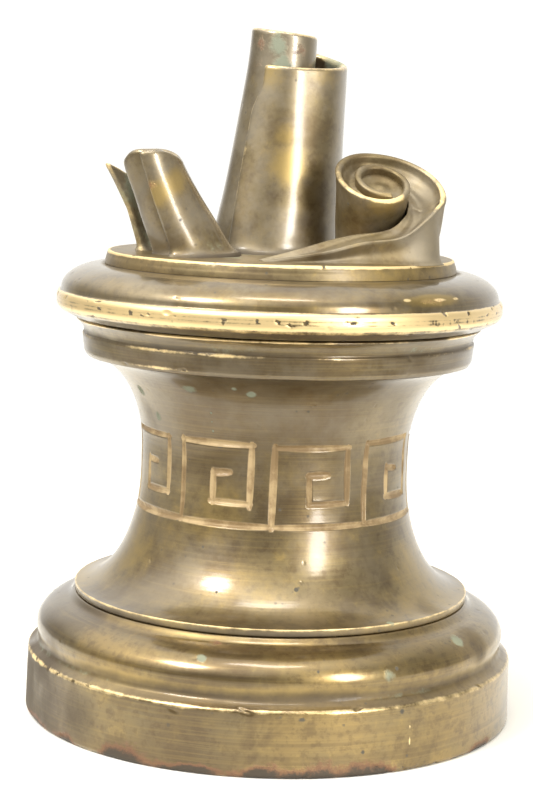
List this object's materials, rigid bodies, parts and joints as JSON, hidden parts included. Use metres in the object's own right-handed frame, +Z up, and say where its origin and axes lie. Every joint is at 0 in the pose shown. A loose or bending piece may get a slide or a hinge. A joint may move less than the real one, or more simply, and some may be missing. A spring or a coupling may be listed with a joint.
{
  "type": "ink blotter",
  "caption": "Turned bronze desk ink blotter: spool grip on a stepped foot, cap with rolled parchment scrolls that winds a felt and blotting-paper pad up and down.",
  "frame": {"origin": "centre of the foot's round rim, on the surface that it stands on", "axes": "+Z up along the turning axis towards the scrolls; -Y is the front, with the left roll at -X and the volute at +X"},
  "size_m": [0.066, 0.066, 0.0916],
  "materials": {
    "aged_bronze": "olive-brown patina, worn gold on the edges",
    "scroll_bronze": "hand-worked, patinated, worn lips with traces of verdigris",
    "machined_brass": "turned",
    "steel": "turned",
    "leather": "oiled",
    "green_felt": "wool felt",
    "blotting_paper": "soft absorbent paper with faint ink traces"
  },
  "bodies": {
    "body": {"foot": "aged_bronze", "waist": "aged_bronze", "neck_ring": "aged_bronze", "seat_washer": "leather", "rod_guide_bush": "machined_brass", "foot_screw_1": "steel", "foot_screw_2": "steel", "foot_screw_3": "steel", "neck_screw_1": "steel", "neck_screw_2": "steel", "neck_screw_3": "steel"},
    "screw_cap": {"cap": "aged_bronze", "scroll_plinth": "scroll_bronze", "tall_scroll": "scroll_bronze", "left_scroll": "scroll_bronze", "left_leaf": "scroll_bronze", "right_scroll": "scroll_bronze", "cap_bush": "machined_brass", "plinth_screw_1": "steel", "plinth_screw_2": "steel", "plinth_screw_3": "steel"},
    "pad_carrier": {"tie_rod": "steel", "pad_plate": "machined_brass", "rod_nut": "steel", "anti_turn_pin_1": "steel", "anti_turn_pin_2": "steel", "felt_pad": "green_felt", "blotting_paper": "blotting_paper"},
    "paper_clamp": {"paper_ring": "machined_brass"}
  },
  "joints": [
    {"name": "cap_turn", "type": "hinge", "parent": "body", "child": "screw_cap", "pos_m": [0, 0, 0.0533], "axis": [0, 0, 1], "range_deg": [0, 1890]},
    {"name": "pad_drop", "type": "slide", "parent": "body", "child": "pad_carrier", "axis": [0, 0, -1], "range_m": [0, 0.00525]},
    {"name": "ring_pull", "type": "slide", "parent": "pad_carrier", "child": "paper_clamp", "axis": [0, 0, -1], "range_m": [0, 0.012]}
  ],
  "couplings": [
    {"joint": "cap_turn", "follows": "pad_drop", "rad_per_m": 6283.2}
  ]
}
